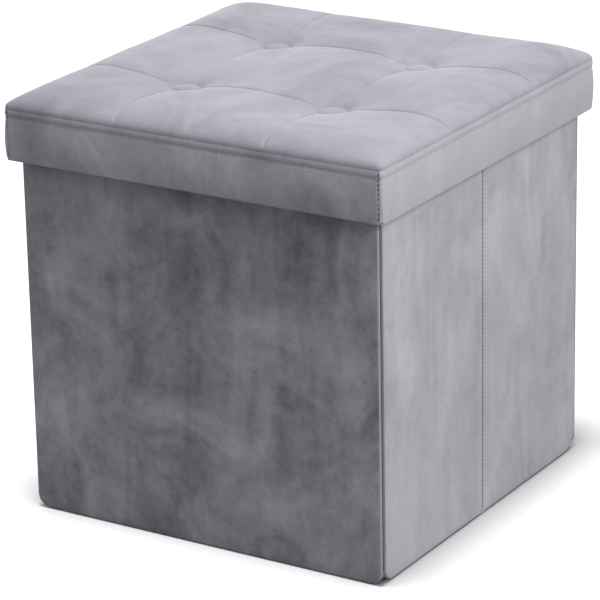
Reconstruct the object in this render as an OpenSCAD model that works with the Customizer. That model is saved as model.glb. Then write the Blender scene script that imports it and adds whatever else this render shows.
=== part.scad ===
// Folding storage ottoman: a square box of velvet-covered boards with a
// lift-off tufted lid. The side walls fold inwards at their middle seams while
// the wall set lays back off the base board.
// Origin at the centre of the footprint on the floor, +X right, +Y back, +Z up.

/* [Overall] */
// Side of the square body, outside the velvet
body_side = 360; // [300:5:460]
// Height of the lid's crown above the floor
total_h = 396; // [320:2:500]
// How far the lid stands proud of the body on each side
lid_overhang = 10; // [8:0.5:16]

/* [Walls] */
// Thickness of the fibreboard inside each wall
board_t = 4.6; // [3:0.2:7]
// Thickness of the velvet with its backing
velvet_t = 1.6; // [1:0.1:2.4]
// Thickness of the inside lining cloth
lining_t = 0.8; // [0.4:0.1:1.4]
// Play between a board and the cloth around it
board_play = 0.1; // [0.05:0.05:0.4]
// Radius of the lower corners of each wall
low_r = 12; // [4:0.5:20]
// Radius of the upper corners of each wall
top_r = 5; // [3:0.5:12]
// Radius of a half wall's corners at its middle seam
seam_r = 2; // [1.8:0.2:4]
// Height of the walls' lower edges above the floor
floor_gap = 0.8; // [0.7:0.1:3]

/* [Folding seams] */
// Width of the channel beside each vertical corner seam
channel_w = 6; // [3:0.5:9]
// Thickness of the sewn edge that stands beside that channel
flange_t = 2.4; // [1.8:0.1:3.5]
// Distance from a wall's inner face to the corner fold line
corner_play = 0.6; // [0.4:0.1:1.5]
// Gap between the two halves of a side wall
fold_gap = 2; // [1:0.1:4]
// Thickness of the cloth strips in the folding seams
strip_t = 0.8; // [0.4:0.1:1.2]
// Clearance between a strip and the wall that folds past it
strip_clear = 0.3; // [0.1:0.05:0.6]
// Distance from the middle of a fold seam to its strip
seam_clear = 0.1; // [0.05:0.05:0.3]
// Height of the strips' lower ends above the floor
strip_low = 5; // [2:0.5:15]

/* [Base] */
// Thickness of the loose base board
base_board_t = 2.4; // [1.6:0.1:2.6]
// Thickness of the cloth around the base board
base_cloth_t = 0.6; // [0.3:0.05:0.6]
// Clearance between the base and the walls
base_clear = 6; // [5:0.5:12]
// Corner radius of the base board
base_r = 8; // [2:1:20]
// Width of the pull tab
tab_w = 24; // [12:1:40]
// Length of the pull tab
tab_l = 46; // [25:1:80]
// Distance from the base's front edge to the tab
tab_inset = 14; // [5:1:40]

/* [Lid] */
// Height of the skirt, from its hem to the seam under the cushion
skirt_h = 48; // [35:0.5:80]
// Thickness of the board in the top of the lid
lid_board_t = 6; // [4:0.5:12]
// Height of the cushion, from the lid board to the crown
cushion_h = 20; // [16:1:45]
// Gap between the walls' upper edges and the lid resting on them
lid_gap = 0.4; // [0.2:0.1:1]
// Corner radius of the cushion seen from above
cushion_r = 10; // [4:1:30]

/* [Tufting] */
// Distance between neighbouring tufting buttons
button_pitch = 150; // [90:5:190]
// Diameter of a covered button
button_d = 25; // [16:1:34]
// Full height of a covered button
button_h = 5.4; // [4:0.2:9]
// Height of the domed part of a button
button_dome = 3; // [1.5:0.1:4]
// Clearance around a button in its tuft
tuft_clear = 2; // [1:0.5:5]
// Foam left under a button
foam_under = 2; // [1:0.5:6]
// Diameter of the tufting twine
twine_d = 1.6; // [1:0.1:2.5]
// Diameter of the holes that the twine passes through
twine_hole_d = 3; // [2.6:0.1:5]
// Diameter of the washer that anchors the twine
washer_d = 16; // [10:1:24]
// Thickness of that washer
washer_t = 2.2; // [1.2:0.1:3]
// Play around the washer in its recess
washer_play = 1; // [0.5:0.25:2]

/* [Hidden] */
$fn = 48;

velvet_front = "dimgray";
velvet_side = "darkgray";
velvet_top = "silver";
board_colour = "burlywood";
cloth_colour = "#2b2b2e";
foam_colour = "ivory";
metal_colour = "lightgray";
cut = 1;

// Directions that the four walls face, as turns about +Z
front_a = 0;
right_a = 90;
back_a = 180;
left_a = 270;

// Walls
half = body_side / 2;
wall_t = velvet_t + board_t + lining_t;
lid_board_top = total_h - cushion_h;
lid_board_z = lid_board_top - lid_board_t;
lid_under = lid_board_z - lining_t;
wall_top = lid_under - lid_gap;
wall_h = wall_top - floor_gap;
wide_w = body_side - 2 * channel_w;
side_end = half - wall_t - corner_play;
half_panel_w = side_end - fold_gap / 2;
half_panel_mid = (side_end + fold_gap / 2) / 2;
wide_radii = [low_r, low_r, top_r, top_r];
least_r = 0.2;

// Corner radii of half a side wall on side s of its middle seam
function half_radii(s) = s > 0 ? [seam_r, low_r, top_r, seam_r] : [low_r, seam_r, seam_r, top_r];

// Base
base_half = half - wall_t - base_clear;
base_top = base_board_t + 2 * base_cloth_t;

// Lid
lid_half = half + lid_overhang;
skirt_top = lid_board_top + velvet_t;
skirt_low = skirt_top - skirt_h;
rail_out = lid_half - velvet_t;
rail_in = rail_out - board_t;
skirt_in = rail_in - lining_t;
foam_half = rail_out - velvet_t;
foam_top = total_h - velvet_t;
tuft_r = button_d / 2 + tuft_clear;
tuft_z = lid_board_top + foam_under;
button_z = tuft_z + velvet_t;
tuft_at = button_pitch / 2;

// Draws its child, made with x across, y up and z outwards, as the wall that
// faces direction a with its z = 0 plane at distance d from the centre
module stand(a, d) {
    rotate([0, 0, a])
        translate([0, -d, 0])
            rotate([90, 0, 0])
                children();
}

// What a corner of radius r loses, for a corner at the origin
module corner_cut(r) {
    difference() {
        translate([-cut, -cut])
            square([r + cut, r + cut]);
        translate([r, r])
            circle(r);
    }
}

// Outline of a panel standing on y = 0. The radii are those of its corners,
// anticlockwise from the lower left.
module outline(w, h, radii) {
    corners = [[-w / 2, 0], [w / 2, 0], [w / 2, h], [-w / 2, h]];
    difference() {
        translate([-w / 2, 0])
            square([w, h]);
        for (i = [0:3])
            translate(corners[i])
                rotate(90 * i)
                    corner_cut(radii[i]);
    }
}

// A slab of that outline, from depth z0 to depth z1, pulled in by inset
module slab(w, radii, inset, z0, z1) {
    smaller = [for (r = radii) max(r - inset, least_r)];
    translate([0, floor_gap + inset, z0])
        linear_extrude(z1 - z0)
            outline(w - 2 * inset, wall_h - 2 * inset, smaller);
}

// Velvet cover of a panel: its face and the turned edges around the board
module panel_cover(w, flange_w, radii) {
    difference() {
        union() {
            slab(w, radii, 0, -wall_t, 0);
            if (flange_w > w)
                slab(flange_w, radii, 0, -flange_t, 0);
        }
        slab(w, radii, velvet_t, -wall_t - cut, -velvet_t);
    }
}

module panel_board(w, radii) {
    slab(w, radii, velvet_t + board_play, -velvet_t - board_t, -velvet_t);
}

module panel_lining(w, radii) {
    slab(w, radii, velvet_t + board_play, -wall_t, -wall_t + lining_t);
}

// The three layers of the full-width walls at the front and the back
module wide_cover(a) {
    stand(a, half)
        panel_cover(wide_w, body_side, wide_radii);
}

module wide_board(a) {
    stand(a, half)
        panel_board(wide_w, wide_radii);
}

module wide_lining(a) {
    stand(a, half)
        panel_lining(wide_w, wide_radii);
}

// The three layers of half a side wall, side s of its middle seam
module half_cover(a, s) {
    stand(a, half)
        translate([s * half_panel_mid, 0, 0])
            panel_cover(half_panel_w, half_panel_w, half_radii(s));
}

module half_board(a, s) {
    stand(a, half)
        translate([s * half_panel_mid, 0, 0])
            panel_board(half_panel_w, half_radii(s));
}

module half_lining(a, s) {
    stand(a, half)
        translate([s * half_panel_mid, 0, 0])
            panel_lining(half_panel_w, half_radii(s));
}

// Cloth strip at the bottom of a corner channel, side s of a wide wall
module corner_strip(a, s) {
    x = s > 0 ? wide_w / 2 : -wide_w / 2 - strip_t;
    deep = wall_t + corner_play - strip_clear;
    color(cloth_colour)
        stand(a, half)
            translate([x, floor_gap + strip_low + low_r, -deep])
                cube([strip_t, wall_h - strip_low - low_r - top_r, deep - flange_t]);
}

// Cloth strip in the middle seam of a side wall, sewn to the half on side s.
// It stops just short of the seam's middle, so the strips of the two side
// walls stay apart when the walls are folded.
module fold_strip(a, s) {
    w = fold_gap / 2 - seam_clear;
    x = s > 0 ? seam_clear : -fold_gap / 2;
    color(cloth_colour)
        stand(a, half)
            translate([x, floor_gap + strip_low, -strip_t - strip_clear])
                cube([w, wall_h - strip_low - top_r, strip_t]);
}

// Rounded square plate centred on the Z axis
module plate(h, r, z0, z1) {
    translate([0, 0, z0])
        linear_extrude(z1 - z0) {
            square([2 * h, 2 * (h - r)], center = true);
            square([2 * (h - r), 2 * h], center = true);
            for (x = [-1, 1], y = [-1, 1])
                translate([x * (h - r), y * (h - r)])
                    circle(r);
        }
}

// Places its child at each tufting button
module at_tufts() {
    for (x = [-1, 1], y = [-1, 1])
        translate([x * tuft_at, y * tuft_at, 0])
            children();
}

module base_board() {
    color(board_colour)
        plate(base_half - base_cloth_t - board_play, base_r, base_cloth_t, base_cloth_t + base_board_t);
}

module base_wrap() {
    color(cloth_colour)
        difference() {
            plate(base_half, base_r + base_cloth_t, 0, base_top);
            plate(base_half - base_cloth_t, base_r, base_cloth_t, base_top + cut);
        }
}

module base_lining() {
    color(cloth_colour)
        plate(base_half - base_cloth_t - board_play, base_r, base_cloth_t + base_board_t, base_top);
}

module pull_tab() {
    color(cloth_colour)
        translate([-tab_w / 2, -base_half + tab_inset, base_top])
            cube([tab_w, tab_l, strip_t]);
}

// Cloth that ties the base to the lower edge of the back wall
module base_hinge_cloth() {
    w = 2 * (base_half - base_r - base_cloth_t);
    color(cloth_colour)
        translate([-w / 2, base_half, 0])
            cube([w, half - base_half - strip_clear, floor_gap - strip_clear]);
}

module lid_board() {
    color(board_colour)
        difference() {
            plate(rail_in, cushion_r, lid_board_z, lid_board_top);
            at_tufts() {
                translate([0, 0, lid_board_z - cut])
                    cylinder(h = lid_board_t + 2 * cut, d = twine_hole_d);
                translate([0, 0, lid_board_z - cut])
                    cylinder(h = washer_t + cut, d = washer_d + 2 * washer_play);
            }
        }
}

module lid_lining() {
    color(cloth_colour)
        plate(rail_in, cushion_r, lid_under, lid_board_z);
}

// Fibreboard rail in the skirt, long enough to reach along to x = reach
module rail(a, reach) {
    color(board_colour)
        stand(a, rail_out)
            translate([-reach, skirt_low + velvet_t, -board_t])
                cube([2 * reach, lid_board_top - skirt_low - velvet_t, board_t]);
}

// Velvet band of the skirt, with its hem turned under the rail
module skirt_band(a, reach, hem_reach) {
    stand(a, lid_half) {
        translate([-reach, skirt_low, -velvet_t])
            cube([2 * reach, skirt_h, velvet_t]);
        translate([-hem_reach, skirt_low, skirt_in - lid_half])
            cube([2 * hem_reach, velvet_t, lid_half - skirt_in - velvet_t]);
    }
}

module skirt_lining() {
    z0 = skirt_low + velvet_t;
    color(cloth_colour)
        difference() {
            translate([-rail_in, -rail_in, z0])
                cube([2 * rail_in, 2 * rail_in, lid_under - z0]);
            translate([-skirt_in, -skirt_in, z0 - cut])
                cube([2 * skirt_in, 2 * skirt_in, lid_under - z0 + 2 * cut]);
        }
}

module cushion_foam() {
    color(foam_colour)
        difference() {
            plate(foam_half, cushion_r, lid_board_top, foam_top);
            at_tufts() {
                translate([0, 0, tuft_z])
                    cylinder(h = cushion_h, r = tuft_r + velvet_t);
                translate([0, 0, lid_board_top - cut])
                    cylinder(h = cushion_h, d = twine_hole_d);
            }
        }
}

module cushion_cover() {
    color(velvet_top)
        difference() {
            plate(rail_out, cushion_r + velvet_t, lid_board_top, total_h);
            difference() {
                plate(foam_half, cushion_r, lid_board_top - cut, foam_top);
                at_tufts()
                    translate([0, 0, tuft_z])
                        cylinder(h = cushion_h, r = tuft_r + velvet_t);
            }
            at_tufts() {
                translate([0, 0, button_z])
                    cylinder(h = cushion_h, r = tuft_r);
                translate([0, 0, tuft_z - cut])
                    cylinder(h = cushion_h, d = twine_hole_d);
            }
        }
}

// Covered button, twine and washer of the tuft at side x, y
module button(x, y) {
    r = button_d / 2;
    ball = (r * r + button_dome * button_dome) / (2 * button_dome);
    color(velvet_top)
        translate([x * tuft_at, y * tuft_at, button_z]) {
            cylinder(h = button_h - button_dome, r = r);
            translate([0, 0, button_h - button_dome])
                intersection() {
                    cylinder(h = button_dome, r = r);
                    translate([0, 0, button_dome - ball])
                        sphere(ball);
                }
        }
}

module twine(x, y) {
    z0 = lid_board_z + washer_t;
    color(foam_colour)
        translate([x * tuft_at, y * tuft_at, z0])
            cylinder(h = button_z - z0, d = twine_d);
}

module washer(x, y) {
    color(metal_colour)
        translate([x * tuft_at, y * tuft_at, lid_board_z])
            cylinder(h = washer_t, d = washer_d);
}

module front_board() { color(board_colour) wide_board(front_a); }
module front_cover() { color(velvet_front) wide_cover(front_a); }
module front_lining() { color(cloth_colour) wide_lining(front_a); }
module back_board() { color(board_colour) wide_board(back_a); }
module back_cover() { color(velvet_front) wide_cover(back_a); }
module back_lining() { color(cloth_colour) wide_lining(back_a); }

module right_front_board() { color(board_colour) half_board(right_a, -1); }
module right_front_cover() { color(velvet_side) half_cover(right_a, -1); }
module right_front_lining() { color(cloth_colour) half_lining(right_a, -1); }
module right_rear_board() { color(board_colour) half_board(right_a, 1); }
module right_rear_cover() { color(velvet_side) half_cover(right_a, 1); }
module right_rear_lining() { color(cloth_colour) half_lining(right_a, 1); }

module left_front_board() { color(board_colour) half_board(left_a, 1); }
module left_front_cover() { color(velvet_side) half_cover(left_a, 1); }
module left_front_lining() { color(cloth_colour) half_lining(left_a, 1); }
module left_rear_board() { color(board_colour) half_board(left_a, -1); }
module left_rear_cover() { color(velvet_side) half_cover(left_a, -1); }
module left_rear_lining() { color(cloth_colour) half_lining(left_a, -1); }

module corner_strip_front_right() { corner_strip(front_a, 1); }
module corner_strip_front_left() { corner_strip(front_a, -1); }
module corner_strip_back_right() { corner_strip(back_a, -1); }
module corner_strip_back_left() { corner_strip(back_a, 1); }
module fold_strip_right() { fold_strip(right_a, 1); }
module fold_strip_left() { fold_strip(left_a, -1); }

module rail_front() { rail(front_a, rail_out); }
module rail_back() { rail(back_a, rail_out); }
module rail_right() { rail(right_a, rail_in); }
module rail_left() { rail(left_a, rail_in); }

module skirt_front() { color(velvet_front) skirt_band(front_a, lid_half, rail_out); }
module skirt_back() { color(velvet_front) skirt_band(back_a, lid_half, rail_out); }
module skirt_right() { color(velvet_side) skirt_band(right_a, rail_out, skirt_in); }
module skirt_left() { color(velvet_side) skirt_band(left_a, rail_out, skirt_in); }

module button_front_left() { button(-1, -1); }
module button_front_right() { button(1, -1); }
module button_back_left() { button(-1, 1); }
module button_back_right() { button(1, 1); }
module twine_front_left() { twine(-1, -1); }
module twine_front_right() { twine(1, -1); }
module twine_back_left() { twine(-1, 1); }
module twine_back_right() { twine(1, 1); }
module washer_front_left() { washer(-1, -1); }
module washer_front_right() { washer(1, -1); }
module washer_back_left() { washer(-1, 1); }
module washer_back_right() { washer(1, 1); }

base_board();
base_wrap();
base_lining();
pull_tab();
base_hinge_cloth();
front_board();
front_cover();
front_lining();
back_board();
back_cover();
back_lining();
right_front_board();
right_front_cover();
right_front_lining();
right_rear_board();
right_rear_cover();
right_rear_lining();
left_front_board();
left_front_cover();
left_front_lining();
left_rear_board();
left_rear_cover();
left_rear_lining();
corner_strip_front_right();
corner_strip_front_left();
corner_strip_back_right();
corner_strip_back_left();
fold_strip_right();
fold_strip_left();
lid_board();
lid_lining();
rail_front();
rail_back();
rail_right();
rail_left();
skirt_front();
skirt_back();
skirt_right();
skirt_left();
skirt_lining();
cushion_foam();
cushion_cover();
button_front_left();
button_front_right();
button_back_left();
button_back_right();
twine_front_left();
twine_front_right();
twine_back_left();
twine_back_right();
washer_front_left();
washer_front_right();
washer_back_left();
washer_back_right();
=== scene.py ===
"""Looks for a folding velvet storage ottoman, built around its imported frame."""

import math

import bmesh
import bpy
from bpy.props import (
    FloatProperty,
    FloatVectorProperty,
    PointerProperty,
)
from mathutils import Matrix, Vector, noise


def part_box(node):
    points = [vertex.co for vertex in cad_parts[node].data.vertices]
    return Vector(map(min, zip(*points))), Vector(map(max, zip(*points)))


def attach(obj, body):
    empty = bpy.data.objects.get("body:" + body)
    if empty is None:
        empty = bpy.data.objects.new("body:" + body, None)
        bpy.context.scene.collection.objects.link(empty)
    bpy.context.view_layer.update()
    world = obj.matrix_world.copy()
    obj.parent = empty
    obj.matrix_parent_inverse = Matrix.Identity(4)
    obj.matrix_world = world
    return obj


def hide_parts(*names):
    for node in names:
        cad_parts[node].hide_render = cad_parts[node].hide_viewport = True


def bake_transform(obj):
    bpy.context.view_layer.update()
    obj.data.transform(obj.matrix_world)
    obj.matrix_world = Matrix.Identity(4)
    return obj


bl_info = {
    "name": "Folding Storage Ottoman",
    "version": (1, 0, 0),
    "blender": (4, 5, 0),
    "location": "3D View > Sidebar > Ottoman",
    "description": "Velvet, seams, linings and tufted lid of a folding storage ottoman",
    "category": "Object",
}

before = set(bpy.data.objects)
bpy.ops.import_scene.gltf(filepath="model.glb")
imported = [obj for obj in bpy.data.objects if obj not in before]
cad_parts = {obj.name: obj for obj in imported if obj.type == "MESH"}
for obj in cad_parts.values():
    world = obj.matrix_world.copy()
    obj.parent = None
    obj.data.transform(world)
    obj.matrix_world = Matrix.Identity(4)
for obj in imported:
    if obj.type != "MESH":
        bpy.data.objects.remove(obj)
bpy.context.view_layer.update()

MM = 0.001
SIDES = {"front": 0, "right": 90, "back": 180, "left": 270}
WALLS = {
    "front": ("front", "front_wall"),
    "back": ("back", "back_wall"),
    "right_front": ("right", "right_front"),
    "right_rear": ("right", "right_rear"),
    "left_front": ("left", "left_front"),
    "left_rear": ("left", "left_rear"),
}
TUFTS = ("front_left", "front_right", "back_left", "back_right")

LOW_CORNER = 12 * MM
TOP_CORNER = 5 * MM
FLANGE = 2.2 * MM
FLANGE_ROLL = 1.7 * MM
CHANNEL = 6 * MM
BACK_ROLL = 0.9 * MM


# ---------------------------------------------------------------- settings


class OttomanVelvet(bpy.types.PropertyGroup):
    deep: FloatVectorProperty(
        name="Deep pile",
        description="Colour where the pile leans towards the eye",
        subtype="COLOR",
        size=3,
        min=0,
        max=1,
        default=(0.063, 0.062, 0.084),
    )
    pale: FloatVectorProperty(
        name="Pale pile",
        description="Colour where the pile leans away from the eye",
        subtype="COLOR",
        size=3,
        min=0,
        max=1,
        default=(0.285, 0.280, 0.300),
    )
    patch: FloatProperty(
        name="Patch size",
        description="Width of a brushed patch",
        subtype="DISTANCE",
        default=88 * MM,
    )
    sheen: FloatProperty(
        name="Sheen",
        description="Strength of the pale glow at grazing angles",
        subtype="FACTOR",
        min=0,
        max=1,
        default=0.3,
    )


class OttomanSewing(bpy.types.PropertyGroup):
    stitch: FloatProperty(
        name="Stitch length",
        description="Length of one visible stitch",
        subtype="DISTANCE",
        default=2.6 * MM,
    )
    pitch: FloatProperty(
        name="Stitch pitch",
        description="Distance from one stitch to the next",
        subtype="DISTANCE",
        default=4 * MM,
    )
    thread: FloatProperty(
        name="Thread radius",
        description="Radius of the sewing thread",
        subtype="DISTANCE",
        default=0.48 * MM,
    )
    roll: FloatProperty(
        name="Rolled edge",
        description="Radius of the velvet where it turns round a board",
        subtype="DISTANCE",
        default=2.6 * MM,
    )
    strip: FloatProperty(
        name="Strip height",
        description="Height of the puffed strip at the top of the skirt",
        subtype="DISTANCE",
        default=8 * MM,
    )


class OttomanCushion(bpy.types.PropertyGroup):
    crown: FloatProperty(
        name="Crown",
        description="Height of the cushion above its edge seam",
        subtype="DISTANCE",
        default=17 * MM,
    )
    shoulder: FloatProperty(
        name="Shoulder",
        description="Distance from the edge at which the crown is reached",
        subtype="DISTANCE",
        default=46 * MM,
    )
    seam_depth: FloatProperty(
        name="Seam depth",
        description="How far a sewn channel pulls the cushion down",
        subtype="DISTANCE",
        default=2.2 * MM,
    )
    seam_width: FloatProperty(
        name="Seam width",
        description="Distance over which the cushion rises from a channel",
        subtype="DISTANCE",
        default=15 * MM,
    )
    funnel: FloatProperty(
        name="Tuft width",
        description="Distance over which the cushion rises from a button",
        subtype="DISTANCE",
        default=46 * MM,
    )


class OttomanStage(bpy.types.PropertyGroup):
    camera_at: FloatVectorProperty(
        name="Camera place",
        description="Where the camera stands",
        subtype="TRANSLATION",
        size=3,
        default=(1.5089, -2.4382, 1.2112),
    )
    heading: FloatProperty(
        name="Heading",
        description="Turn of the view to the left of the back wall's direction",
        subtype="ANGLE",
        default=math.radians(31.90),
    )
    tilt: FloatProperty(
        name="Tilt",
        description="Angle by which the view looks down",
        subtype="ANGLE",
        default=math.radians(19.91),
    )
    roll: FloatProperty(
        name="Roll",
        description="Turn of the camera about its own axis",
        subtype="ANGLE",
        default=math.radians(-1.106),
    )
    lens: FloatProperty(
        name="Lens",
        description="Focal length of the camera",
        subtype="DISTANCE_CAMERA",
        default=202.07,
    )
    key: FloatProperty(
        name="Key light",
        description="Power of the large light above and to the right",
        subtype="POWER",
        default=51,
    )
    top: FloatProperty(
        name="Top light",
        description="Power of the light overhead",
        subtype="POWER",
        default=302,
    )
    ambient: FloatProperty(
        name="Ambient light",
        description="Strength of the light from all round",
        default=0.6,
        min=0,
    )
    floor: FloatProperty(
        name="Floor brightness",
        description="Share of the light that the floor throws at the camera",
        subtype="FACTOR",
        min=0,
        max=1,
        default=0.78,
    )
    bounce: FloatProperty(
        name="Floor bounce",
        description="Share of the light that the floor throws at the ottoman",
        subtype="FACTOR",
        min=0,
        max=1,
        default=0.34,
    )


# --------------------------------------------------------------- materials

SPECKLES = {
    # Painted shadow: near-black velvet for the grooves of the front corner channels.
    "Velvet with painted seam shadow": ((0.015, 0.015, 0.017), (0.05, 0.05, 0.055), 900, 0.95),
    "Sewing thread": ((0.2, 0.2, 0.215), (0.34, 0.34, 0.36), 2600, 0.6),
    # Painted shade: a darker copy of the sewing thread, for stitches sunk in grooves.
    "Thread with painted groove shade": ((0.02, 0.02, 0.022), (0.06, 0.06, 0.065), 2600, 0.6),
    "Fibreboard": ((0.21, 0.13, 0.07), (0.45, 0.31, 0.18), 650, 0.85),
    "Foam": ((0.62, 0.56, 0.38), (0.86, 0.81, 0.62), 900, 0.95),
    "Waxed twine": ((0.45, 0.41, 0.33), (0.75, 0.70, 0.60), 1800, 0.6),
    "Woven tape": ((0.012, 0.012, 0.014), (0.04, 0.04, 0.045), 1500, 0.7),
    "Moulded washer": ((0.55, 0.55, 0.53), (0.7, 0.7, 0.68), 300, 0.45),
}


def add(tree, kind, at, **values):
    """A node of that kind with its inputs or properties set by name."""
    node = tree.nodes.new(kind)
    node.location = at
    for name, value in values.items():
        if name in node.inputs:
            node.inputs[name].default_value = value
        else:
            setattr(node, name, value)
    return node


def group(name, inputs, outputs):
    """An empty shader node group with named sockets."""
    tree = bpy.data.node_groups.new(name, "ShaderNodeTree")
    for label, kind, default in inputs:
        socket = tree.interface.new_socket(label, in_out="INPUT", socket_type=kind)
        if default is not None:
            socket.default_value = default
    for label, kind in outputs:
        tree.interface.new_socket(label, in_out="OUTPUT", socket_type=kind)
    start = add(tree, "NodeGroupInput", (-900, 0))
    end = add(tree, "NodeGroupOutput", (900, 0))
    return tree, start, end


def pile_group():
    """Brushed velvet: pale and deep patches, upright streaks and fine pile, over a painted shade
    and painted light that follow the cut and the way a face turns.
    """
    name = "Brushed pile"
    if name in bpy.data.node_groups:
        return bpy.data.node_groups[name]
    tree, start, end = group(
        name,
        [
            ("Vector", "NodeSocketVector", None),
            ("Deep", "NodeSocketColor", (0.1, 0.1, 0.1, 1)),
            ("Pale", "NodeSocketColor", (0.3, 0.3, 0.3, 1)),
            ("Lean", "NodeSocketFloat", 0.5),
            ("Patch scale", "NodeSocketFloat", 18),
            ("Streaks", "NodeSocketFloat", 0.3),
            ("Contrast", "NodeSocketFloat", 0.6),
            ("Normal", "NodeSocketVector", None),
            ("Facing shade", "NodeSocketFloat", 0),
        ],
        [
            ("Color", "NodeSocketColor"),
            ("Roughness", "NodeSocketFloat"),
            ("Height", "NodeSocketFloat"),
        ],
    )
    link = tree.links.new
    patches = add(
        tree, "ShaderNodeTexNoise", (-650, 300), Detail=5, Roughness=0.58, Distortion=1.1
    )
    link(start.outputs["Vector"], patches.inputs["Vector"])
    link(start.outputs["Patch scale"], patches.inputs["Scale"])
    upright = add(tree, "ShaderNodeMapping", (-650, 0), Scale=(1, 1, 0.2))
    link(start.outputs["Vector"], upright.inputs["Vector"])
    streaks = add(
        tree, "ShaderNodeTexNoise", (-450, 0), Scale=30, Detail=4, Roughness=0.6, Distortion=0.9
    )
    link(upright.outputs["Vector"], streaks.inputs["Vector"])
    mottle = add(
        tree, "ShaderNodeTexNoise", (-650, -300), Scale=95, Detail=5, Roughness=0.65, Distortion=0.6
    )
    link(start.outputs["Vector"], mottle.inputs["Vector"])
    fibre = add(tree, "ShaderNodeTexNoise", (-650, -550), Scale=1500, Detail=2, Roughness=0.7)
    link(start.outputs["Vector"], fibre.inputs["Vector"])

    with_streaks = add(tree, "ShaderNodeMix", (-200, 200), data_type="FLOAT")
    link(start.outputs["Streaks"], with_streaks.inputs["Factor"])
    link(patches.outputs["Fac"], with_streaks.inputs["A"])
    link(streaks.outputs["Fac"], with_streaks.inputs["B"])
    with_mottle = add(tree, "ShaderNodeMix", (-20, 120), data_type="FLOAT", Factor=0.2)
    link(with_streaks.outputs["Result"], with_mottle.inputs["A"])
    link(mottle.outputs["Fac"], with_mottle.inputs["B"])
    with_fibre = add(tree, "ShaderNodeMix", (150, 60), data_type="FLOAT", Factor=0.1)
    link(with_mottle.outputs["Result"], with_fibre.inputs["A"])
    link(fibre.outputs["Fac"], with_fibre.inputs["B"])

    middle = add(tree, "ShaderNodeMath", (320, 60), operation="SUBTRACT")
    link(with_fibre.outputs["Result"], middle.inputs[0])
    middle.inputs[1].default_value = 0.5
    spread = add(tree, "ShaderNodeMath", (480, 60), operation="MULTIPLY_ADD")
    link(middle.outputs[0], spread.inputs[0])
    link(start.outputs["Contrast"], spread.inputs[1])
    # Painted shade: the face's turn towards the front darkens the colour, a turn towards the back
    # pales it.
    facing_way = add(tree, "ShaderNodeSeparateXYZ", (150, -120))
    link(start.outputs["Normal"], facing_way.inputs[0])
    lean = add(tree, "ShaderNodeMath", (320, -120), operation="MULTIPLY_ADD")
    link(facing_way.outputs["Y"], lean.inputs[0])
    link(start.outputs["Facing shade"], lean.inputs[1])
    link(start.outputs["Lean"], lean.inputs[2])
    link(lean.outputs[0], spread.inputs[2])
    colour = add(tree, "ShaderNodeMix", (660, 160), data_type="RGBA", clamp_factor=True)
    link(spread.outputs[0], colour.inputs["Factor"])
    link(start.outputs["Deep"], colour.inputs[6])
    link(start.outputs["Pale"], colour.inputs[7])
    link(colour.outputs[2], end.inputs["Color"])
    rough = add(tree, "ShaderNodeMapRange", (660, -60), **{"To Min": 0.78, "To Max": 0.98})
    link(with_fibre.outputs["Result"], rough.inputs["Value"])
    link(rough.outputs["Result"], end.inputs["Roughness"])
    height = add(tree, "ShaderNodeMix", (480, -260), data_type="FLOAT", Factor=0.35)
    link(with_streaks.outputs["Result"], height.inputs["A"])
    link(fibre.outputs["Fac"], height.inputs["B"])
    link(height.outputs["Result"], end.inputs["Height"])
    return tree


def grain_group():
    """Speckled mass, such as pressed fibre, foam or twisted twine."""
    name = "Speckle"
    if name in bpy.data.node_groups:
        return bpy.data.node_groups[name]
    tree, start, end = group(
        name,
        [
            ("Vector", "NodeSocketVector", None),
            ("Dark", "NodeSocketColor", (0.2, 0.1, 0.05, 1)),
            ("Light", "NodeSocketColor", (0.6, 0.4, 0.2, 1)),
            ("Scale", "NodeSocketFloat", 400),
        ],
        [("Color", "NodeSocketColor"), ("Height", "NodeSocketFloat")],
    )
    link = tree.links.new
    speck = add(tree, "ShaderNodeTexNoise", (-500, 0), Detail=6, Roughness=0.75)
    link(start.outputs["Vector"], speck.inputs["Vector"])
    link(start.outputs["Scale"], speck.inputs["Scale"])
    sharp = add(
        tree, "ShaderNodeMapRange", (-200, 0), **{"From Min": 0.35, "From Max": 0.68}
    )
    link(speck.outputs["Fac"], sharp.inputs["Value"])
    colour = add(tree, "ShaderNodeMix", (100, 0), data_type="RGBA")
    link(sharp.outputs["Result"], colour.inputs["Factor"])
    link(start.outputs["Dark"], colour.inputs[6])
    link(start.outputs["Light"], colour.inputs[7])
    link(colour.outputs[2], end.inputs["Color"])
    link(speck.outputs["Fac"], end.inputs["Height"])
    return tree


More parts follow.
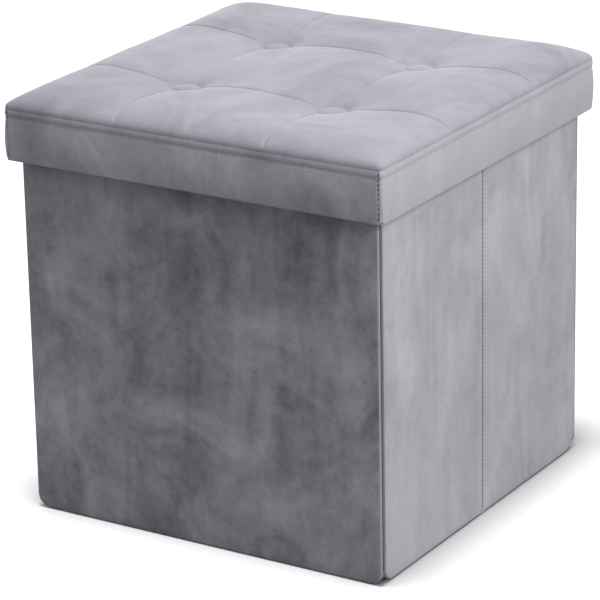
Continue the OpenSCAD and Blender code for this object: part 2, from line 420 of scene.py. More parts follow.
def dots_group():
    """Non-woven cloth: a lattice of heat-pressed dots over matted fibre."""
    name = "Pressed dots"
    if name in bpy.data.node_groups:
        return bpy.data.node_groups[name]
    tree, start, end = group(
        name,
        [
            ("Vector", "NodeSocketVector", None),
            ("Colour", "NodeSocketColor", (0.02, 0.02, 0.02, 1)),
            ("Scale", "NodeSocketFloat", 420),
        ],
        [("Color", "NodeSocketColor"), ("Height", "NodeSocketFloat")],
    )
    link = tree.links.new
    dots = add(tree, "ShaderNodeTexVoronoi", (-500, 120), Randomness=0.0)
    link(start.outputs["Vector"], dots.inputs["Vector"])
    link(start.outputs["Scale"], dots.inputs["Scale"])
    press = add(tree, "ShaderNodeMapRange", (-250, 120), **{"From Min": 0.18, "From Max": 0.42})
    link(dots.outputs["Distance"], press.inputs["Value"])
    matted = add(tree, "ShaderNodeTexNoise", (-500, -200), Scale=240, Detail=5, Roughness=0.7)
    link(start.outputs["Vector"], matted.inputs["Vector"])
    both = add(tree, "ShaderNodeMix", (0, 0), data_type="FLOAT", Factor=0.35)
    link(press.outputs["Result"], both.inputs["A"])
    link(matted.outputs["Fac"], both.inputs["B"])
    shade = add(tree, "ShaderNodeMapRange", (200, 100), **{"To Min": 0.6, "To Max": 1.5})
    link(both.outputs["Result"], shade.inputs["Value"])
    colour = add(tree, "ShaderNodeVectorMath", (420, 100), operation="MULTIPLY")
    link(start.outputs["Colour"], colour.inputs[0])
    link(shade.outputs["Result"], colour.inputs[1])
    link(colour.outputs["Vector"], end.inputs["Color"])
    link(both.outputs["Result"], end.inputs["Height"])
    return tree


def shaded(name, tree, values, bump, distance, settings):
    """A material whose colour and bump come from that node group."""
    if name in bpy.data.materials:
        return bpy.data.materials[name]
    material = bpy.data.materials.new(name)
    material.use_nodes = True
    nodes = material.node_tree
    shader = nodes.nodes["Principled BSDF"]
    for label, value in settings.items():
        shader.inputs[label].default_value = value
    place = add(nodes, "ShaderNodeTexCoord", (-900, 0))
    effect = add(nodes, "ShaderNodeGroup", (-600, 0))
    effect.node_tree = tree
    for label, value in values.items():
        effect.inputs[label].default_value = value
    nodes.links.new(place.outputs["Object"], effect.inputs["Vector"])
    if "Normal" in effect.inputs:
        nodes.links.new(place.outputs["Normal"], effect.inputs["Normal"])
    nodes.links.new(effect.outputs["Color"], shader.inputs["Base Color"])
    if "Roughness" in effect.outputs:
        nodes.links.new(effect.outputs["Roughness"], shader.inputs["Roughness"])
    relief = add(nodes, "ShaderNodeBump", (-300, -200), Strength=bump, Distance=distance)
    nodes.links.new(effect.outputs["Height"], relief.inputs["Height"])
    nodes.links.new(relief.outputs["Normal"], shader.inputs["Normal"])
    return material


def velvet(cut, lean, streaks, contrast, facing_shade=0.0):
    """The velvet as one cut of cloth shows it: lean is how far its colour is pushed to the pale
    side, as painted shade or light that differs by cut; the last argument paints it paler where a
    face turns back and darker where it turns to the front."""
    look = bpy.context.scene.ottoman_velvet
    return shaded(
        "Velvet " + cut,
        pile_group(),
        {
            "Deep": (*look.deep, 1),
            "Pale": (*look.pale, 1),
            "Lean": lean,
            "Patch scale": 1 / look.patch,
            "Streaks": streaks,
            "Contrast": contrast,
            "Facing shade": facing_shade,
        },
        0.35,
        0.8 * MM,
        {
            "Sheen Weight": look.sheen,
            "Sheen Roughness": 0.42,
            "Sheen Tint": (0.93, 0.93, 1.0, 1),
            "Specular IOR Level": 0.12,
        },
    )


def wall_velvet(side):
    """Painted shade and light: front and back get a darker copy of the velvet, the sides a paler
    copy.
    """
    if side in ("front", "back"):
        return velvet("with painted shade, front and back", 0.45, 0.3, 2.8)
    return velvet("with painted light, sides", 0.79, 0.5, 1.7)


def top_velvet():
    # Painted shade: the top velvet is painted darker where the cushion turns to the front, paler
    # where it turns back.
    return velvet("on top, with painted shade by facing", 0.43, 0.1, 1.0, 0.10)


def painted_highlight_velvet():
    # Painted highlight: a paler copy of the velvet for rolled edges.
    return velvet("with painted highlight on rolled edges", 0.55, 0.2, 0.5)


def painted_shade_seam_velvet():
    # Painted shade: a much darker copy of the velvet for the front corner channels.
    return velvet("with painted shade in the corner channels", 0.08, 0.2, 0.3)


def lining_cloth():
    return shaded(
        "Non-woven lining",
        dots_group(),
        {"Colour": (0.022, 0.022, 0.025, 1)},
        0.5,
        0.3 * MM,
        {"Roughness": 0.82, "Sheen Weight": 0.15, "Specular IOR Level": 0.3},
    )


def speckled(name):
    """One of the finishes of SPECKLES: dark, light, grains per metre, roughness."""
    dark, light, scale, roughness = SPECKLES[name]
    return shaded(
        name,
        grain_group(),
        {"Dark": (*dark, 1), "Light": (*light, 1), "Scale": scale},
        0.3,
        0.4 * MM,
        {"Roughness": roughness},
    )


# ------------------------------------------------------------ modelling aids


def facing(side):
    """Turns a local frame, x across, y up and z outwards, to that side."""
    turn = Matrix.Rotation(math.radians(SIDES[side]), 4, "Z")
    return turn @ Matrix.Rotation(math.radians(90), 4, "X")


def local_box(node, turn):
    """A CAD node's corners in the local frame of turn."""
    back = turn.inverted()
    ends = [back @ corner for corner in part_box(node)]
    return Vector(map(min, *ends)), Vector(map(max, *ends))


def ease(t):
    """0 to 1 with level ends, for t from 0 to 1."""
    t = min(max(t, 0.0), 1.0)
    return t * t * (3 - 2 * t)


def ripple(x, y, size, seed):
    """Smooth noise from -1 to 1 with features about that size."""
    return noise.noise(Vector((x / size, y / size, seed)))


def cut_across(bm, normal, places):
    """Cuts the mesh at each distance along normal."""
    for at in places:
        bmesh.ops.bisect_plane(
            bm,
            geom=bm.verts[:] + bm.edges[:] + bm.faces[:],
            plane_co=normal * at,
            plane_no=normal,
        )


def steps(low, high, pitch):
    """Even places between low and high, at most pitch apart, ends left out."""
    count = max(1, math.ceil((high - low) / pitch))
    return [low + (high - low) * i / count for i in range(1, count)]


def cut_squares(bm, low, high, pitch):
    """Cuts the mesh into squares of about that pitch, seen along z."""
    cut_across(bm, Vector((1, 0, 0)), steps(low.x, high.x, pitch))
    cut_across(bm, Vector((0, 1, 0)), steps(low.y, high.y, pitch))


def join_to(bm, part):
    """Adds a second bmesh to the first and frees it."""
    scrap = bpy.data.meshes.new("scrap")
    part.to_mesh(scrap)
    part.free()
    bm.from_mesh(scrap)
    bpy.data.meshes.remove(scrap)


def outline(x0, y0, x1, y1, z):
    """The four sides of a rectangle at height z, as rows of stitches."""
    corners = [(x0, y0, z), (x1, y0, z), (x1, y1, z), (x0, y1, z)]
    return list(zip(corners, corners[1:] + corners[:1]))


def plate(bm, low, high, radii, roll, back_roll):
    """A closed slab from low to high whose outline has those corner radii,
    anticlockwise from the lower left, and whose outer rim is rolled."""
    places = ((low.x, low.y), (high.x, low.y), (high.x, high.y), (low.x, high.y))
    corners = [bm.verts.new((x, y, low.z)) for x, y in places]
    bm.faces.new(corners)
    for corner, radius in zip(corners, radii):
        if radius > 0:
            bmesh.ops.bevel(
                bm,
                geom=[corner],
                offset=radius,
                segments=7,
                profile=0.5,
                affect="VERTICES",
                material=-1,
            )
    made = bmesh.ops.extrude_face_region(bm, geom=bm.faces[:], use_keep_orig=True)
    raised = [v for v in made["geom"] if isinstance(v, bmesh.types.BMVert)]
    bmesh.ops.translate(bm, verts=raised, vec=(0, 0, high.z - low.z))
    for level, radius, count in ((high.z, roll, 5), (low.z, back_roll, 2)):
        rim = [e for e in bm.edges if all(abs(v.co.z - level) < 1e-7 for v in e.verts)]
        bmesh.ops.bevel(
            bm,
            geom=rim,
            offset=radius,
            segments=count,
            profile=0.5,
            affect="EDGES",
            material=-1,
        )


def make_piece(bm, name, materials, body=None, stands_for=(), turn=None):
    """Turns a bmesh into a finished piece that rides on body."""
    if turn is not None:
        bmesh.ops.transform(bm, matrix=turn, verts=bm.verts)
    bmesh.ops.recalc_face_normals(bm, faces=bm.faces)
    mesh = bpy.data.meshes.new(name)
    bm.to_mesh(mesh)
    bm.free()
    mesh.shade_smooth()
    mesh.set_sharp_from_angle(angle=math.radians(38))
    piece = bpy.data.objects.new(name, mesh)
    bpy.context.scene.collection.objects.link(piece)
    for material in materials if isinstance(materials, list) else [materials]:
        mesh.materials.append(material)
    if body is not None:
        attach(piece, body)
    if stands_for:
        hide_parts(*stands_for)
    return piece


def stitch_row(bm, start, end):
    """Stitches laid end to end from start to end."""
    sewing = bpy.context.scene.ottoman_sewing
    way = end - start
    count = max(1, round(way.length / sewing.pitch))
    turn = way.to_track_quat("X", "Z").to_matrix().to_4x4()
    size = Matrix.Diagonal((sewing.stitch / 2, sewing.thread, sewing.thread, 1))
    for i in range(count):
        at = Matrix.Translation(start + way * ((i + 0.5) / count))
        bmesh.ops.create_icosphere(bm, subdivisions=1, radius=1, matrix=at @ turn @ size)


def make_stitches(name, rows, body, yarn="Sewing thread"):
    bm = bmesh.new()
    for start, end in rows:
        stitch_row(bm, Vector(start), Vector(end))
    return make_piece(bm, name, speckled(yarn), body)


# -------------------------------------------------------------- body pieces


class OTTOMAN_OT_walls(bpy.types.Operator):
    """Velvet covers of the six wall panels, turned round their boards"""

    bl_idname = "ottoman.walls"
    bl_label = "Wall covers"

    def execute(self, context):
        for wall, (side, body) in WALLS.items():
            self.cover(context.scene.ottoman_sewing, wall, side, body)
        return {"FINISHED"}

    def cover(self, sewing, wall, side, body):
        turn = facing(side)
        low, high = local_box(wall + "_cover", turn)
        wide = wall in ("front", "back")
        seam_corner = 1.2 * MM
        seam_reach = 0.85 * MM
        bm = bmesh.new()
        if wide:
            radii = (LOW_CORNER, LOW_CORNER, TOP_CORNER, TOP_CORNER)
            front = Vector((low.x, low.y, high.z - FLANGE))
            plate(bm, front, high, radii, FLANGE_ROLL, 0.3 * MM)
            sleeve = bmesh.new()
            inner_low = Vector((low.x + CHANNEL, low.y + MM, low.z))
            inner_high = Vector((high.x - CHANNEL, high.y - MM, high.z - 1.5 * MM))
            plate(sleeve, inner_low, inner_high, radii, MM, BACK_ROLL)
            join_to(bm, sleeve)
        else:
            if low.x > 0:
                low.x -= seam_reach
                radii = (seam_corner, LOW_CORNER, TOP_CORNER, seam_corner)
            else:
                high.x += seam_reach
                radii = (LOW_CORNER, seam_corner, seam_corner, TOP_CORNER)
            plate(bm, low, high, radii, sewing.roll, BACK_ROLL)
        cut_squares(bm, low, high, 9 * MM)
        seed = 3.7 * list(WALLS).index(wall)
        for v in bm.verts:
            if v.co.z > high.z - 1.0 * MM:
                inset = min(v.co.x - low.x, high.x - v.co.x, v.co.y - low.y, high.y - v.co.y)
                soft = ease(inset / (12 * MM))
                swell = 0.45 * ripple(v.co.x, v.co.y, 70 * MM, seed)
                swell += 0.16 * ripple(v.co.x, v.co.y, 22 * MM, seed + 1)
                v.co.z += (swell - 0.25) * MM * soft
        if not wide:
            self.flatten_seam_edge(bm, 0.0, high.z, sewing.roll)
        bm.normal_update()
        # Painted highlight: faces of the front and back covers that turn sideways, and those turned
        # inwards, get the paler edge velvet.
        if wide:
            for face in bm.faces:
                if abs(face.normal.x) > 0.3 or face.normal.z < -0.3:
                    face.material_index = 1
        cloths = [wall_velvet(side), painted_highlight_velvet()]
        make_piece(bm, wall + "_velvet", cloths, body, [wall + "_cover"], turn)

    def flatten_seam_edge(self, bm, seam, surface, roll):
        """Keeps the velvet nearly level up to a middle seam, since it runs on
        across it, with only a narrow groove for the stitches."""
        for v in bm.verts:
            away = abs(v.co.x - seam)
            if away < roll * 1.6 and v.co.z > surface - roll * 1.02:
                groove = 0.5 * MM * (1 - ease(away / (1.4 * MM)))
                v.co.z = max(v.co.z, surface - groove - 0.1 * MM)


class OTTOMAN_OT_linings(bpy.types.Operator):
    """Non-woven linings on the inner faces of the walls"""

    bl_idname = "ottoman.linings"
    bl_label = "Wall linings"

    def execute(self, context):
        proud = 0.18 * MM
        for wall, (side, body) in WALLS.items():
            turn = facing(side) @ Matrix.Rotation(math.pi, 4, "Y")
            low, high = local_box(wall + "_lining", turn)
            high.z += proud
            bm = bmesh.new()
            plate(bm, low, high, [4 * MM] * 4, 0.35 * MM, 0.2 * MM)
            cut_squares(bm, low, high, 12 * MM)
            for v in bm.verts:
                if v.co.z > high.z - 0.1 * MM:
                    inset = min(
                        v.co.x - low.x, high.x - v.co.x, v.co.y - low.y, high.y - v.co.y
                    )
                    v.co.z -= 0.16 * MM * abs(ripple(v.co.x, v.co.y, 40 * MM, 9)) * ease(
                        inset / (8 * MM)
                    )
            make_piece(
                bm,
                wall + "_lining_cloth",
                lining_cloth(),
                body,
                [wall + "_lining"],
                turn,
            )
            hem = 5 * MM
            top = high.y - hem
            rows = [((low.x + hem, top, high.z), (high.x - hem, top, high.z))]
            placed = [(turn @ Vector(a), turn @ Vector(b)) for a, b in rows]
            make_stitches("stitches_" + wall + "_lining", placed, body)
        return {"FINISHED"}


class OTTOMAN_OT_seams(bpy.types.Operator):
    """Cloth in the corner channels and middle seams, and their stitches"""

    bl_idname = "ottoman.seams"
    bl_label = "Folding seams"

    def execute(self, context):
        for depth, wall in (("front", "front_wall"), ("back", "back_wall")):
            for hand in ("right", "left"):
                self.corner(depth, hand, wall)
        for hand in ("right", "left"):
            self.middle(hand)
        return {"FINISHED"}

    def corner(self, depth, hand, wall):
        node = f"corner_strip_{depth}_{hand}"
        sx = 1 if hand == "right" else -1
        sy = -1 if depth == "front" else 1
        low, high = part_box(node)
        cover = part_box(depth + "_cover")
        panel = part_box(hand + ("_front_cover" if depth == "front" else "_rear_cover"))
        outer_x = cover[1].x
        near_y = cover[1].y if depth == "back" else -cover[0].y
        start = near_y - FLANGE_ROLL
        end = (panel[1].y if depth == "back" else -panel[0].y) - 1.6 * MM
        bm = bmesh.new()
        bmesh.ops.create_grid(bm, x_segments=14, y_segments=40, size=0.5)
        for v in bm.verts:
            t = v.co.x + 0.5
            foot = low.z - 11.5 * MM
            up = foot + (high.z - foot) * (v.co.y + 0.5)
            groove = 1.6 * math.exp(-(((t - 0.26) / 0.12) ** 2)) if depth == "front" else 0
            level = 0.9 if depth == "front" else 0.4
            out = outer_x - (level + groove) * MM + 0.15 * MM * ripple(up, t, 26 * MM, 5)
            below = max(0.0, cover[0].z + LOW_CORNER - up)
            out -= LOW_CORNER - math.sqrt(LOW_CORNER**2 - below**2)
            v.co = Vector((sx * out, sy * (start + (end - start) * t), up))
        # Painted shadow: the part of a front corner strip next to the flange gets the near-black
        # seam velvet, the rest the darker seam velvet as painted shade; back corner strips get the
        # paler side velvet.
        for face in bm.faces:
            across = (sy * face.calc_center_median().y - start) / (end - start)
            face.material_index = 1 if across < 0.42 else 0
        bmesh.ops.solidify(bm, geom=bm.faces[:], thickness=0.7 * MM)
        cloths = [painted_shade_seam_velvet(), speckled("Velvet with painted seam shadow")]
        if depth == "back":
            cloths = [wall_velvet(hand)] * 2
        strip = make_piece(bm, node + "_velvet", cloths)
        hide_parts(node)
        if depth == "front" and hand == "left":
            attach(strip, wall)
        else:
            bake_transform(strip)
        sunk = 0.2 * MM if depth == "front" else 0.7 * MM
        x = sx * (outer_x - sunk)
        y = sy * (near_y - 3.5 * MM)
        rows = [((x, y, low.z - 4 * MM), (x, y, high.z))]
        # Painted shade: front corner stitches get the darker thread, back corner stitches the plain
        # one.
        yarn = "Thread with painted groove shade" if depth == "front" else "Sewing thread"
        make_stitches(f"stitches_{depth}_{hand}_corner", rows, wall, yarn)

    def middle(self, hand):
        node = "fold_strip_" + hand
        low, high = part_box(node)
        sx = 1 if hand == "right" else -1
        turn = facing(hand)
        local_low, local_high = local_box(node, turn)
        local_high.z += 0.1 * MM
        bm = bmesh.new()
        plate(bm, local_low, local_high, [0.1 * MM] * 4, 0.12 * MM, 0.1 * MM)
        body = hand + "_rear"
        make_piece(bm, node + "_tape", wall_velvet(hand), body, [node], turn)
        x = sx * max(abs(low.x), abs(high.x))
        y = 0.15 * MM
        rows = [((x, y, low.z), (x, y, high.z))]
        # Painted shade: the fold's stitches get the darker thread.
        make_stitches(f"stitches_{hand}_fold", rows, body, "Thread with painted groove shade")


class OTTOMAN_OT_base(bpy.types.Operator):
    """Wrapped base board, its lining, pull tab and hinge cloth"""

    bl_idname = "ottoman.base"
    bl_label = "Base"

    def execute(self, context):
        radius = 8.6 * MM
        low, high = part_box("base_wrap")
        bm = bmesh.new()
        plate(bm, low, high, [radius] * 4, 0.9 * MM, 0.5 * MM)
        make_piece(bm, "base_wrap_cloth", lining_cloth(), "base", ["base_wrap"])

        low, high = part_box("base_lining")
        high.z += 0.25 * MM
        low.z += 0.2 * MM
        bm = bmesh.new()
        inset = 3 * MM
        low += Vector((inset, inset, 0))
        high -= Vector((inset, inset, 0))
        plate(bm, low, high, [radius] * 4, 0.3 * MM, 0.1 * MM)
        cut_squares(bm, low, high, 14 * MM)
        for v in bm.verts:
            if v.co.z > high.z - 0.1 * MM:
                v.co.z -= 0.15 * MM * abs(ripple(v.co.x, v.co.y, 45 * MM, 2))
        make_piece(bm, "base_lining_cloth", lining_cloth(), "base", ["base_lining"])
        edge = 4 * MM
        a, b = low.x + edge, high.x - edge
        make_stitches("stitches_base", outline(a, a, b, b, high.z), "base")
        self.tab()
        self.hinge_cloth()
        return {"FINISHED"}

    def tab(self):
        low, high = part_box("pull_tab")
        bm = bmesh.new()
        plate(bm, low, high, [1.5 * MM] * 4, 0.3 * MM, 0.2 * MM)
        cut_across(bm, Vector((0, 1, 0)), steps(low.y, high.y, 2 * MM))
        for v in bm.verts:
            t = (v.co.y - low.y) / (high.y - low.y)
            v.co.z += (0.3 + 2.2 * math.sin(math.pi * min(t * 1.25, 1))) * MM
        make_piece(bm, "pull_tab_tape", speckled("Woven tape"), "base", ["pull_tab"])
        z = high.z + 0.35 * MM
        inset = 2.5 * MM
        y1, y0 = high.y - inset, high.y - 10 * MM
        x0, x1 = low.x + inset, high.x - inset
        make_stitches("stitches_pull_tab", outline(x0, y0, x1, y1, z), "base")

    def hinge_cloth(self):
        low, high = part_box("base_hinge_cloth")
        low.y -= 4 * MM
        bm = bmesh.new()
        plate(bm, low, high, [MM] * 4, 0.15 * MM, 0.1 * MM)
        make_piece(
            bm, "base_hinge_cloth_strip", lining_cloth(), "base", ["base_hinge_cloth"]
        )


# --------------------------------------------------------------- lid pieces


class OTTOMAN_OT_skirt(bpy.types.Operator):
    """Velvet skirt bands with their puffed strip, hem and mitred corners"""

    bl_idname = "ottoman.skirt"
    bl_label = "Lid skirt"

    def execute(self, context):
        for side in SIDES:
            self.band(context.scene.ottoman_sewing, side)
        self.stitches(context.scene.ottoman_sewing)
        return {"FINISHED"}

    def band(self, sewing, side):
        turn = facing(side)
        node = "skirt_" + side
        low, high = local_box(node, turn)
        out, hem_in = high.z, low.z
        behind = local_box("rail_" + side, turn)[1].z
        thick = local_box("rail_" + side, turn)[0].y - low.y
        profile = (
            (hem_in, low.y),
            (out, low.y),
            (out, high.y),
            (behind, high.y),
            (behind, low.y + thick),
            (hem_in, low.y + thick),
        )
        bm = bmesh.new()
        ring = [bm.verts.new((-out, y, z)) for z, y in profile]
        bm.faces.new(ring)
        for corner, radius in ((1, 2.0 * MM), (0, 1.0 * MM), (2, 0.7 * MM)):
            bmesh.ops.bevel(
                bm,
                geom=[ring[corner]],
                offset=radius,
                segments=6,
                profile=0.5,
                affect="VERTICES",
                material=-1,
            )
        made = bmesh.ops.extrude_face_region(bm, geom=bm.faces[:], use_keep_orig=True)
        moved = [v for v in made["geom"] if isinstance(v, bmesh.types.BMVert)]
        bmesh.ops.translate(bm, verts=moved, vec=(2 * out, 0, 0))
        for way in (1, -1):
            cut = bmesh.ops.bisect_plane(
                bm,
                geom=bm.verts[:] + bm.edges[:] + bm.faces[:],
                plane_co=(0, 0, 0),
                plane_no=Vector((way, 0, -1)).normalized(),
                clear_outer=True,
            )
            edges = [e for e in cut["geom_cut"] if isinstance(e, bmesh.types.BMEdge)]
            bmesh.ops.holes_fill(bm, edges=edges)
        seam = high.y - sewing.strip
        fine = [seam + k * 0.8 * MM for k in range(-4, 11)]
        cut_across(bm, Vector((0, 1, 0)), fine + steps(low.y + 4 * MM, seam - 4 * MM, 6 * MM))
        ends = [s * (out - k * MM) for s in (-1, 1) for k in (0.6, 1.3, 2, 2.8, 3.4, 4, 5, 7)]
        cut_across(bm, Vector((1, 0, 0)), ends + steps(-out, out, 8 * MM))
        seed = 11.3 * list(SIDES).index(side)
        wide = side in ("front", "back")
        for v in bm.verts:
            if v.co.z > behind + 0.5 * MM:
                self.puff(v.co, sewing, low, seam, seed, wide)
        # Painted highlight: where the front and back bands round the corner, their last 3.4 mm get
        # the paler side velvet.
        if wide:
            for face in bm.faces:
                if abs(face.calc_center_median().x) > out - 3.4 * MM:
                    face.material_index = 1
        cloths = [self.cloth(side), wall_velvet("right")]
        make_piece(bm, node + "_velvet", cloths, "lid", [node], turn)

    def cloth(self, side):
        # Painted shade on the front and back bands, painted light on the side bands: darker and
        # paler copies of one velvet.
        if side in ("front", "back"):
            return velvet("skirt with painted shade, front and back", 0.59, 0.2, 2.2)
        return velvet("skirt with painted light, sides", 0.80, 0.5, 0.8)

    def puff(self, co, sewing, low, seam, seed, wide):
        """Shapes the outer face of a band: strip, groove, skirt and corners."""
        end = co.z - abs(co.x)
        before = co.z
        if co.y > seam:
            t = (co.y - seam) / sewing.strip
            co.z += (0.4 * math.sin(math.pi * t) - 0.2 * t * t) * MM
        groove = math.exp(-(((co.y - seam) / (1.1 * MM)) ** 2))
        co.z -= 0.35 * MM * groove
        level = (co.y - low.y) / (seam - low.y)
        if 0 < level < 1:
            swell = 1.0 * math.sin(math.pi * level)
            co.z += (swell + 0.35 * ripple(co.x, co.y, 34 * MM, seed)) * MM
        co.x += math.copysign((co.z - before) * max(0.0, 1 - end / (12 * MM)), co.x)
        rise = max(0.0, 1 - (co.y - low.y) / (5 * MM))
        co.y += 2.2 * MM * rise * max(0.0, 1 - end / (5 * MM)) ** 2
        if wide:
            co.z -= 0.7 * MM * math.exp(-(((end - 3.4 * MM) / (0.9 * MM)) ** 2))
        self.turn_corner(co, end)

    def turn_corner(self, co, end):
        """Rounds the band towards its mitre."""
        radius = 4 * MM
        if end < radius:
            kept = 1 - math.sqrt(0.5)
            run = kept * radius + max(end, 0) * (1 - kept)
            co.x = math.copysign(abs(co.x) - run + max(end, 0), co.x)
            co.z -= radius - math.sqrt(radius**2 - (radius - run) ** 2)

    def stitches(self, sewing):
        low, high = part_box("skirt_front")
        seam = high.z - sewing.strip
        out = -low.y - 0.25 * MM
        inset = 3 * MM
        rows = []
        for turn in range(4):
            spin = Matrix.Rotation(math.radians(90 * turn), 3, "Z")
            a = spin @ Vector((-out + inset, -out, seam))
            b = spin @ Vector((out - inset, -out, seam))
            rows.append((a, b))
        make_stitches("stitches_skirt_top", rows, "lid")
        rows = []
        for sx in (-1, 1):
            for sy in (-1, 1):
                x, y = sx * (out - 3.0 * MM), sy * (out + 0.45 * MM)
                rows.append(((x, y, low.z + 4 * MM), (x, y, high.z - 2 * MM)))
        # Painted shade: the corner seams of the skirt get the darker thread.
        make_stitches("stitches_skirt_corners", rows, "lid", "Thread with painted groove shade")


def tuft_places():
    """Middle of each tufting button, from the CAD buttons."""
    return [sum(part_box("button_" + t), Vector()) / 2 for t in TUFTS]


def cushion_height(x, y, half, cushion, tufts, pit):
    """Height of the cushion above its edge seam."""
    lean = [max(0.0, 1 - (half - abs(v)) / cushion.shoulder) for v in (x, y)]
    a, b = (max(0.001, math.sqrt(max(0.0, 1 - v * v))) for v in lean)
    full = a * b / math.sqrt(a * a + b * b - a * a * b * b)
    crown = cushion.crown * full
    crown += (0.9 * ripple(x, y, 60 * MM, 4) + 0.35 * ripple(x, y, 24 * MM, 8)) * MM * full
    pitch = abs(tufts[0].x)
    for place, other in ((x, y), (y, x)):
        off = abs(abs(place) - pitch)
        edge = half - abs(other)
        hold = 0.15 + 0.85 * ease(edge / (60 * MM))
        button = abs(abs(other) - pitch)
        hold += 0.8 * math.exp(-button / (20 * MM))
        dip = math.exp(-off / cushion.seam_width)
        crown -= hold * cushion.seam_depth * dip * min(1, crown / (6 * MM))
        crown -= 1.3 * MM * math.exp(-((off / (1.1 * MM)) ** 2)) * ease(edge / (4 * MM))
    for tuft in tufts:
        away = math.hypot(x - tuft.x, y - tuft.y)
        wall = max(0.0, away - 11 * MM)
        pull = 0.58 * math.exp(-wall / (7 * MM))
        pull += 0.42 * math.exp(-((wall / cushion.funnel) ** 1.5))
        crown = crown * (1 - pull) + pit * pull
    return crown


class OTTOMAN_OT_cushion(bpy.types.Operator):
    """Tufted cushion of the lid"""

    bl_idname = "ottoman.cushion"
    bl_label = "Cushion"

    def execute(self, context):
        cushion = context.scene.ottoman_cushion
        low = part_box("cushion_cover")[0]
        skirt_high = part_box("skirt_front")[1]
        seam_z = skirt_high.z
        half = skirt_high.x + 0.15 * MM
        tufts = tuft_places()
        pit = low.z + 3.3 * MM - seam_z
        lines = self.grid_lines(half, abs(tufts[0].x))
        count = len(lines) - 1
        bm = bmesh.new()
        bmesh.ops.create_grid(bm, x_segments=count, y_segments=count, size=0.5)
        for v in bm.verts:
            x = lines[round((v.co.x + 0.5) * count)]
            y = lines[round((v.co.y + 0.5) * count)]
            z = cushion_height(x, y, half, cushion, tufts, pit)
            v.co = Vector((*self.soften(x, y, half), seam_z - 0.5 * MM + z))
        self.close(bm, low.z)
        piece = make_piece(
            bm,
            "cushion",
            top_velvet(),
            "lid",
            ["cushion_cover", "cushion_foam"],
        )
        self.buttons()
        return {"FINISHED"}

    def grid_lines(self, half, pitch):
        """Places of the grid lines, close together at the seams and edges."""
        near = [0.0, 0.55 * MM, 1.2 * MM, 2.2 * MM]
        places = {round(-half + 2 * half * i / 126, 6) for i in range(127)}
        for mid in (-pitch, pitch):
            places = {p for p in places if abs(p - mid) > 3.0 * MM}
            places |= {round(mid + s * n, 6) for n in near for s in (-1, 1)}
        for end in (-half, half):
            inwards = -math.copysign(1, end)
            places = {p for p in places if abs(p - end) > 4.5 * MM or p == end}
            rim = (0.0, 0.25 * MM, 0.8 * MM, 1.7 * MM, 3.0 * MM, 4.4 * MM)
            places |= {round(end + inwards * n, 6) for n in rim}
        return sorted(places)

    def soften(self, x, y, half):
        """Rounds the corners of the square in plan."""
        radius = 4.5 * MM
        over_x, over_y = abs(x) - (half - radius), abs(y) - (half - radius)
        if over_x <= 0 or over_y <= 0:
            return x, y
        reach = max(over_x, over_y)
        scale = reach / math.hypot(over_x, over_y)
        return (
            math.copysign(half - radius + over_x * scale, x),
            math.copysign(half - radius + over_y * scale, y),
        )

    def close(self, bm, floor):
        """Turns the rim under and closes the cushion below."""
        rim = [e for e in bm.edges if e.is_boundary]
        made = bmesh.ops.extrude_edge_only(bm, edges=rim)
        turned = [v for v in made["geom"] if isinstance(v, bmesh.types.BMVert)]
        for v in turned:
            v.co.x *= 0.993
            v.co.y *= 0.993
            v.co.z = floor + 0.2 * MM
        bmesh.ops.holes_fill(bm, edges=[e for e in bm.edges if e.is_boundary])

    def buttons(self):
        for tuft in TUFTS:
            low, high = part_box("button_" + tuft)
            middle = (low + high) / 2
            radius = (high.x - low.x) / 2
            bm = bmesh.new()
            bmesh.ops.create_uvsphere(bm, u_segments=48, v_segments=24, radius=1)
            seed = 5 * TUFTS.index(tuft)
            for v in bm.verts:
                angle = math.atan2(v.co.y, v.co.x)
                flat = math.hypot(v.co.x, v.co.y)
                gather = 0.02 * math.sin(14 * angle + seed) * flat**3
                v.co.x *= radius * (1 + gather)
                v.co.y *= radius * (1 + gather)
                v.co.z *= (high.z - low.z) * (0.52 if v.co.z > 0 else 0.1)
                v.co += Vector((middle.x, middle.y, low.z + 0.3 * MM))
            make_piece(
                bm,
                "button_" + tuft + "_velvet",
                top_velvet(),
                "lid",
                ["button_" + tuft],
            )


class OTTOMAN_OT_underside(bpy.types.Operator):
    """Lining under the lid"""

    bl_idname = "ottoman.underside"
    bl_label = "Lid underside"

    def execute(self, context):
        flip = Matrix.Rotation(math.pi, 4, "X")
        a, b = local_box("lid_lining", flip)
        bm = bmesh.new()
        plate(bm, a, b, [9 * MM] * 4, 0.3 * MM, 0.1 * MM)
        make_piece(
            bm, "lid_lining_cloth", lining_cloth(), "lid", ["lid_lining"], flip
        )
        self.skirt_lining()
        return {"FINISHED"}

    def skirt_lining(self):
        low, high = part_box("skirt_lining")
        thick = high.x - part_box("rail_front")[1].x + 5.4 * MM
        bm = bmesh.new()
        for side in SIDES:
            part = bmesh.new()
            outer = high.x
            a = Vector((-outer, low.z, -outer))
            b = Vector((outer, high.z, -outer + thick))
            plate(part, a, b, [0.0] * 4, 0.2 * MM, 0.1 * MM)
            turn = facing(side) @ Matrix.Rotation(math.pi, 4, "Y")
            bmesh.ops.transform(part, matrix=turn, verts=part.verts)
            join_to(bm, part)
        make_piece(
            bm, "skirt_lining_cloth", lining_cloth(), "lid", ["skirt_lining"]
        )


class OTTOMAN_OT_hidden(bpy.types.Operator):
    """Finishes of the boards, rails, twine and washers inside"""

    bl_idname = "ottoman.hidden"
    bl_label = "Inner parts"

    def execute(self, context):
        finishes = {
            "_board": "Fibreboard",
            "rail_": "Fibreboard",
            "twine_": "Waxed twine",
            "washer_": "Moulded washer",
            "cushion_foam": "Foam",
        }
        for name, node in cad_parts.items():
            for part, finish in finishes.items():
                if part in name:
                    node.data.materials.clear()
                    node.data.materials.append(speckled(finish))
        return {"FINISHED"}


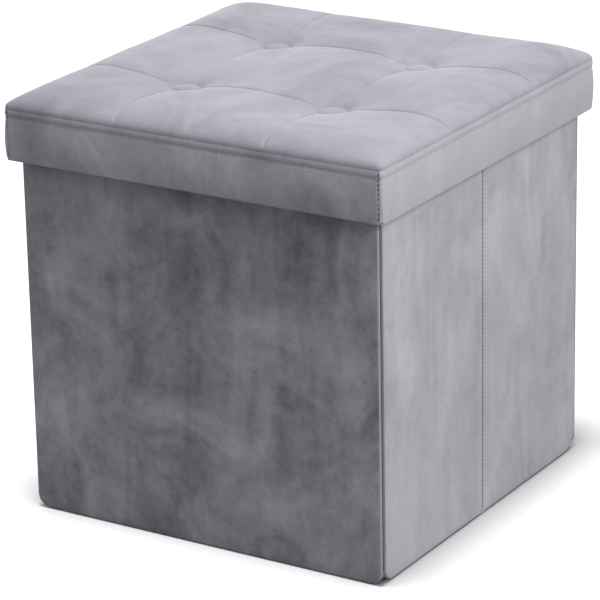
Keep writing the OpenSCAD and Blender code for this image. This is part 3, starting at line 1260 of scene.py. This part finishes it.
# -------------------------------------------------------------------- stage


class OTTOMAN_OT_stage(bpy.types.Operator):
    """Floor, lights and camera"""

    bl_idname = "ottoman.stage"
    bl_label = "Stage"

    def execute(self, context):
        stage = context.scene.ottoman_stage
        floor = self.floor(stage)
        self.world(context.scene, stage)
        key = self.light("Key", (1.65, -0.45, 1.35), 1.0, stage.key)
        self.light("Top", (0.06, -0.37, 5.0), 1.25, stage.top)
        shade = bpy.data.collections.new("Shaded from the key")
        shade.objects.link(floor)
        key.light_linking.receiver_collection = shade
        shade.collection_objects[0].light_linking.link_state = "EXCLUDE"
        self.camera(context.scene, stage)
        return {"FINISHED"}

    def floor(self, stage):
        bm = bmesh.new()
        bmesh.ops.create_grid(bm, x_segments=1, y_segments=1, size=9)
        mesh = bpy.data.meshes.new("floor")
        bm.to_mesh(mesh)
        bm.free()
        floor = bpy.data.objects.new("floor", mesh)
        bpy.context.scene.collection.objects.link(floor)
        material = bpy.data.materials.new("Pale floor")
        material.use_nodes = True
        nodes = material.node_tree
        shader = nodes.nodes["Principled BSDF"]
        path = add(nodes, "ShaderNodeLightPath", (-500, 0))
        tone = add(nodes, "ShaderNodeMix", (-250, 0), data_type="RGBA")
        tone.inputs[6].default_value = (*([stage.bounce] * 3), 1)
        tone.inputs[7].default_value = (*([stage.floor] * 3), 1)
        nodes.links.new(path.outputs["Is Camera Ray"], tone.inputs["Factor"])
        nodes.links.new(tone.outputs[2], shader.inputs["Base Color"])
        shader.inputs["Roughness"].default_value = 0.9
        shader.inputs["Specular IOR Level"].default_value = 0.1
        mesh.materials.append(material)
        return floor

    def world(self, scene, stage):
        world = bpy.data.worlds.new("Studio")
        world.use_nodes = True
        sky = world.node_tree.nodes["Background"]
        sky.inputs["Color"].default_value = (0.97, 0.98, 1, 1)
        sky.inputs["Strength"].default_value = stage.ambient
        scene.world = world
        scene.view_settings.view_transform = "Standard"

    def light(self, name, at, size, power):
        data = bpy.data.lights.new(name, "AREA")
        data.shape = "DISK"
        data.size = size
        data.energy = power
        lamp = bpy.data.objects.new(name, data)
        lamp.location = at
        aim = Vector((0, 0, 0.2)) - Vector(at)
        lamp.rotation_euler = aim.to_track_quat("-Z", "Y").to_euler()
        bpy.context.scene.collection.objects.link(lamp)
        return lamp

    def camera(self, scene, stage):
        data = bpy.data.cameras.new("Camera")
        data.lens = stage.lens
        data.sensor_width = 36
        camera = bpy.data.objects.new("Camera", data)
        turn = Matrix.Rotation(stage.heading, 4, "Z")
        turn @= Matrix.Rotation(math.pi / 2 - stage.tilt, 4, "X")
        turn @= Matrix.Rotation(stage.roll, 4, "Z")
        camera.matrix_world = Matrix.Translation(stage.camera_at) @ turn
        scene.collection.objects.link(camera)
        scene.camera = camera


class OTTOMAN_PT_parts(bpy.types.Panel):
    """Lists the ottoman's pieces"""

    bl_label = "Storage ottoman"
    bl_space_type = "VIEW_3D"
    bl_region_type = "UI"
    bl_category = "Ottoman"

    def draw(self, context):
        for operator in OPERATORS:
            self.layout.operator(operator.bl_idname)


OPERATORS = (
    OTTOMAN_OT_stage,
    OTTOMAN_OT_walls,
    OTTOMAN_OT_linings,
    OTTOMAN_OT_seams,
    OTTOMAN_OT_base,
    OTTOMAN_OT_skirt,
    OTTOMAN_OT_cushion,
    OTTOMAN_OT_underside,
    OTTOMAN_OT_hidden,
)
SETTINGS = {
    "ottoman_velvet": OttomanVelvet,
    "ottoman_sewing": OttomanSewing,
    "ottoman_cushion": OttomanCushion,
    "ottoman_stage": OttomanStage,
}


def register():
    for cls in (*SETTINGS.values(), *OPERATORS, OTTOMAN_PT_parts):
        bpy.utils.register_class(cls)
    for name, cls in SETTINGS.items():
        setattr(bpy.types.Scene, name, PointerProperty(type=cls))


def unregister():
    for name in SETTINGS:
        delattr(bpy.types.Scene, name)
    for cls in reversed((*SETTINGS.values(), *OPERATORS, OTTOMAN_PT_parts)):
        bpy.utils.unregister_class(cls)


def main():
    register()
    for operator in OPERATORS:
        group_name, name = operator.bl_idname.split(".")
        getattr(getattr(bpy.ops, group_name), name)()


if __name__ == "__main__":
    main()
